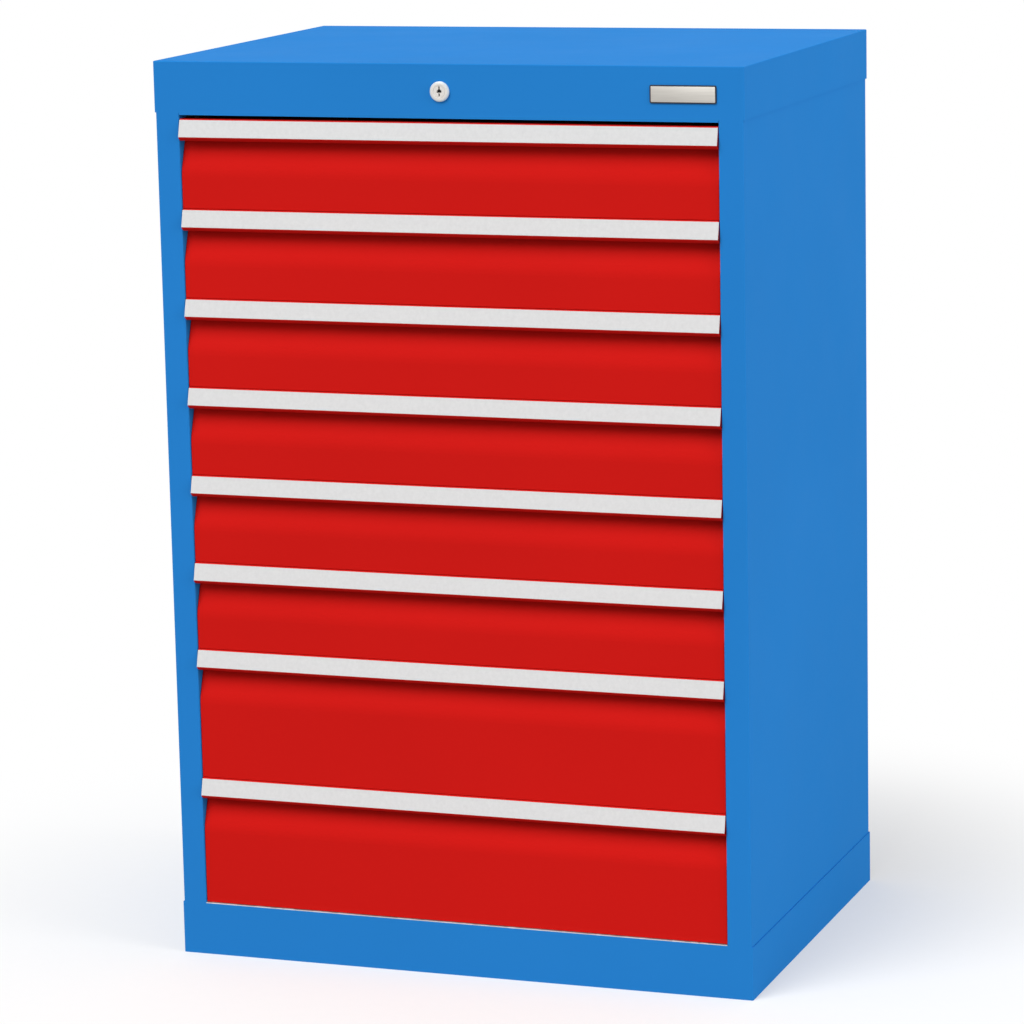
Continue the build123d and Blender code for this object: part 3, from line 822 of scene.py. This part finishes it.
class CABINET_OT_lock(bpy.types.Operator):
    """Model the lock's face and its plug with the keyway"""

    bl_idname = "cabinet.lock"
    bl_label = "Lock"

    def execute(self, context):
        colours = context.scene.cabinet_colours
        sizes = context.scene.cabinet_sizes
        centre = middle("lock_housing")
        nickel = turned_nickel("satin_nickel", tuple(colours.lock), centre, metallic=0.35)
        # The chamfer gets a paler, bluer, less metallic copy of the nickel: a painted
        # highlight ring.
        rim = turned_nickel("painted_highlight_rim", tuple(colours.lock_rim_highlight), centre, metallic=0.1)
        self.make_face(sizes, centre, nickel, rim)
        # A near-black disc behind the keyway paints the shade inside it.
        painted_shade = dark_enamel("keyway_painted_shade", tuple(colours.keyway), roughness=0.5)
        self.make_plug(sizes, centre, nickel, painted_shade)
        return {"FINISHED"}

    def make_face(self, sizes, centre, nickel, rim):
        """The round face, with a chamfer in a paler, bluer finish that paints a highlight
        ring on it, and a seat for the plug, on its barrel.
        """
        face_radius = (LOCK_HIGH.x - LOCK_LOW.x) / 2
        plug_radius = (PLUG_HIGH.x - PLUG_LOW.x) / 2
        barrel_radius = sizes.barrel / 2
        piece = add_rod(
            "lock_face", centre.x, centre.z, FRONT_Y, LOCK_HIGH.y, barrel_radius
        )
        scale = face_radius / barrel_radius
        proud = FRONT_Y - LOCK_LOW.y
        chamfer = sizes.lock_chamfer
        edit_faces(piece, faces_front)
        bpy.ops.mesh.extrude_region_move()
        pivot = (centre.x, FRONT_Y, centre.z)
        bpy.ops.transform.resize(value=(scale, 1, scale), center_override=pivot)
        rise = {"value": (0, -(proud - chamfer / 2), 0)}
        bpy.ops.mesh.extrude_region_move(TRANSFORM_OT_translate=rise)
        bpy.ops.mesh.inset(thickness=chamfer, depth=chamfer / 2)
        seat = face_radius - chamfer - plug_radius - sizes.plug_play
        bpy.ops.mesh.inset(thickness=seat, depth=0)
        sink = {"value": (0, sizes.seat_depth, 0)}
        bpy.ops.mesh.extrude_region_move(TRANSFORM_OT_translate=sink)
        leave_edit()
        tidy_mesh(piece)
        smooth_edges(piece, sizes.lock_rounding)
        finish_piece(piece, "cabinet", "lock_metal", nickel, rim)
        # The chamfer and the face's edge take the painted highlight finish.
        inner = face_radius - chamfer
        for face in piece.data.polygons:
            reach = math.hypot(face.center.x - centre.x, face.center.z - centre.z)
            face.material_index = 1 if reach > inner and face.center.y < FRONT_Y else 0
        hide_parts("lock_housing")

    def make_plug(self, sizes, centre, nickel, painted_shade):
        """The plug, with a slot, a dome and a second slot cut for the key, and a dark disc
        behind them as painted shade.
        """
        front = PLUG_LOW.y
        radius = (PLUG_HIGH.x - PLUG_LOW.x) / 2
        back = front + sizes.key_depth + sizes.plug_tail
        plug = add_rod("lock_plug_face", centre.x, centre.z, front, back, radius)
        half_slot = sizes.key_slot / 2
        half_height = sizes.key_height / 2
        key_middle = centre.z + sizes.key_rise
        dome_foot = key_middle - sizes.dome_drop
        dome_radius = sizes.key_dome / 2
        dome_middle = dome_foot + sizes.dome_height - dome_radius
        above = front - MM
        below = front + sizes.key_depth
        dome = add_rod(
            "dome", centre.x, dome_middle, above, below, dome_radius, SMALL_SIDES
        )
        cut_away(dome, self.lower_half(centre, dome_foot, sizes, above, below))
        upper = add_block(
            "upper_slot",
            (centre.x - half_slot, above, dome_foot),
            (centre.x + half_slot, below, key_middle + half_height),
        )
        lower = add_block(
            "lower_slot",
            (centre.x - half_slot, above, key_middle - half_height),
            (centre.x + half_slot, below, dome_foot - sizes.key_bridge),
        )
        for cutter in (dome, upper, lower):
            cut_away(plug, cutter)
        tidy_mesh(plug)
        finish_piece(plug, "key_core", "lock_metal", nickel)
        bpy.ops.object.shade_smooth_by_angle(angle=PLUG_SMOOTH_ANGLE)
        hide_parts("lock_plug")
        # A dark disc inside the plug, seen through the keyway slots: painted shade.
        disc_front = front + sizes.painted_shade_depth
        disc = add_rod(
            "keyway_painted_shade",
            centre.x,
            centre.z,
            disc_front,
            disc_front + sizes.painted_shade_thickness,
            sizes.painted_shade_reach * radius,
            SMALL_SIDES,
        )
        edit_faces(disc, faces_front)
        rim = sizes.painted_shade_rim * radius
        bpy.ops.mesh.inset(thickness=rim, depth=-sizes.painted_shade_dish)
        leave_edit()
        finish_piece(disc, "key_core", "lock_metal", painted_shade)

    def lower_half(self, centre, dome_foot, sizes, above, below):
        """The half of the dome's rod that is taken away."""
        return add_block(
            "dome_cut",
            (centre.x - sizes.key_dome, above - MM, dome_foot - sizes.key_dome),
            (centre.x + sizes.key_dome, below + MM, dome_foot),
        )


class CABINET_OT_name_plate(bpy.types.Operator):
    """Model the bare plate with its dark border"""

    bl_idname = "cabinet.name_plate"
    bl_label = "Name plate"

    def execute(self, context):
        colours = context.scene.cabinet_colours
        sizes = context.scene.cabinet_sizes
        plate = add_block("bare_plate", PLATE_LOW, PLATE_HIGH)
        half_thickness = (PLATE_HIGH.y - PLATE_LOW.y) / 2
        edit_edges(plate, lambda a, b: abs(a.y - b.y) > half_thickness)
        bpy.ops.mesh.bevel(offset=sizes.plate_corner, segments=CORNER_SEGMENTS)
        leave_edit()
        edit_faces(plate, faces_front)
        bpy.ops.mesh.inset(thickness=sizes.plate_border, depth=-sizes.plate_step)
        bpy.ops.mesh.inset(thickness=sizes.plate_bevel, depth=sizes.plate_step)
        leave_edit()
        pale = brushed_metal(
            "plate_face",
            tuple(colours.plate),
            stretch=(0.02, 1.0, 1.0),
            roughness=0.45,
            metallic=0.3,
            grain=900.0,
        )
        edge = dark_enamel("plate_border", tuple(colours.plate_edge), roughness=0.4)
        finish_piece(plate, "cabinet", "name_plate", edge, pale)
        faces = plate.data.polygons
        ahead = [face for face in faces if faces_front(face.center, face.normal)]
        max(ahead, key=lambda face: face.area).material_index = 1
        smooth_edges(plate, sizes.plate_rounding, segments=2)
        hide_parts("name_plate")
        return {"FINISHED"}


class CABINET_OT_stage(bpy.types.Operator):
    """Set the floor, the soft lights and the white surroundings"""

    bl_idname = "cabinet.stage"
    bl_label = "Stage"

    def execute(self, context):
        studio = context.scene.cabinet_studio
        self.make_floor(studio)
        self.make_sun("key_light", studio.key_strength, studio.key_towards, studio)
        self.make_sun("side_light", studio.side_strength, studio.side_towards, studio)
        self.make_world(context, studio)
        context.scene.view_settings.view_transform = "Standard"
        return {"FINISHED"}

    def seen_directly(self, tree):
        """One where a ray comes from the camera, a mirror or glass."""
        path = add_node(tree, "ShaderNodeLightPath")
        total = path.outputs["Is Camera Ray"]
        for name in ("Is Glossy Ray", "Is Transmission Ray"):
            add = add_node(tree, "ShaderNodeMath", operation="MAXIMUM")
            tree.links.new(total, add.inputs[0])
            tree.links.new(path.outputs[name], add.inputs[1])
            total = add.outputs[0]
        return total

    def fade_to_white(self, tree, studio):
        """The share of plain white in the floor, which grows with the distance."""
        place = add_node(tree, "ShaderNodeTexCoord")
        reach = add_node(tree, "ShaderNodeVectorMath", operation="LENGTH")
        tree.links.new(place.outputs["Object"], reach.inputs[0])
        values = {
            "From Min": studio.fade_start,
            "From Max": studio.fade_end,
            "To Min": studio.floor_glow,
        }
        fade = add_node(
            tree, "ShaderNodeMapRange", values, interpolation_type="SMOOTHSTEP"
        )
        tree.links.new(reach.outputs["Value"], fade.inputs["Value"])
        return fade.outputs["Result"]

    def make_floor(self, studio):
        """The plain floor: white far off, and dim in the light it gives back."""
        bpy.ops.object.select_all(action="DESELECT")
        bpy.ops.mesh.primitive_circle_add(
            vertices=ROUND_SIDES, radius=studio.floor_radius, fill_type="NGON"
        )
        floor = name_new("floor")
        material, tree, shader = start_material(
            "pale_floor", Roughness=0.9, Specular_IOR_Level=0.0
        )
        grain = noise_at(tree, 60.0, Detail=3.0)
        grey = (studio.floor_shade,) * 3
        greys = ramp_between(tree, grain, tint(grey, 0.995), tint(grey, 1.005))
        tree.links.new(greys, shader.inputs["Base Color"])
        direct = self.seen_directly(tree)
        dim = tint((studio.floor_bounce,) * 3, 1)
        bounce = add_node(tree, "ShaderNodeBsdfDiffuse", {"Color": dim})
        near = mix_shaders(tree, direct, bounce.outputs["BSDF"], shader.outputs["BSDF"])
        share = add_node(tree, "ShaderNodeMath", operation="MULTIPLY")
        tree.links.new(self.fade_to_white(tree, studio), share.inputs[0])
        tree.links.new(direct, share.inputs[1])
        white = add_node(tree, "ShaderNodeEmission", {"Strength": 1.0})
        surface = mix_shaders(tree, share.outputs[0], near, white.outputs["Emission"])
        tree.links.new(surface, tree.nodes["Material Output"].inputs["Surface"])
        floor.data.materials.append(material)

    def make_sun(self, name, strength, towards, studio):
        """A soft lamp that shines evenly from one side."""
        bpy.ops.object.light_add(type="SUN", location=(0, 0, LAMP_HEIGHT))
        sun = bpy.context.active_object
        sun.name = name
        sun.data.energy = strength
        sun.data.angle = studio.light_spread
        sun.rotation_euler = Vector(towards).to_track_quat("Z", "Y").to_euler()

    def make_world(self, context, studio):
        """Even light from all round, in front of plain white."""
        world = bpy.data.worlds.new("studio")
        context.scene.world = world
        world.use_nodes = True
        tree = world.node_tree
        even = tree.nodes["Background"]
        even.inputs["Color"].default_value = (1, 1, 1, 1)
        even.inputs["Strength"].default_value = studio.fill_strength
        white = add_node(
            tree, "ShaderNodeBackground", {"Color": (1, 1, 1, 1), "Strength": 1.0}
        )
        surface = mix_shaders(
            tree,
            self.seen_directly(tree),
            even.outputs["Background"],
            white.outputs["Background"],
        )
        tree.links.new(surface, tree.nodes["World Output"].inputs["Surface"])


class CABINET_PT_panel(bpy.types.Panel):
    """Lists the cabinet's pieces, colours and sizes"""

    bl_idname = "CABINET_PT_panel"
    bl_label = "Drawer cabinet"
    bl_space_type = "VIEW_3D"
    bl_region_type = "UI"
    bl_category = "Cabinet"

    def draw(self, context):
        layout = self.layout
        for operator in OPERATORS:
            layout.operator(operator.bl_idname)
        for group in GROUPS:
            values = getattr(context.scene, group)
            box = layout.box()
            for name in values.__annotations__:
                box.prop(values, name)


OPERATORS = (
    CABINET_OT_camera,
    CABINET_OT_carcass,
    CABINET_OT_drawers,
    CABINET_OT_inner_steel,
    CABINET_OT_lock,
    CABINET_OT_name_plate,
    CABINET_OT_stage,
)


def register():
    for group in GROUPS.values():
        bpy.utils.register_class(group)
    for name, group in GROUPS.items():
        setattr(bpy.types.Scene, name, bpy.props.PointerProperty(type=group))
    for operator in OPERATORS:
        bpy.utils.register_class(operator)
    bpy.utils.register_class(CABINET_PT_panel)


def unregister():
    bpy.utils.unregister_class(CABINET_PT_panel)
    for operator in reversed(OPERATORS):
        bpy.utils.unregister_class(operator)
    for name, group in GROUPS.items():
        delattr(bpy.types.Scene, name)
        bpy.utils.unregister_class(group)


def main():
    register()
    bpy.ops.cabinet.camera()
    bpy.ops.cabinet.carcass()
    bpy.ops.cabinet.drawers()
    bpy.ops.cabinet.inner_steel()
    bpy.ops.cabinet.lock()
    bpy.ops.cabinet.name_plate()
    bpy.ops.cabinet.stage()


if __name__ == "__main__":
    main()
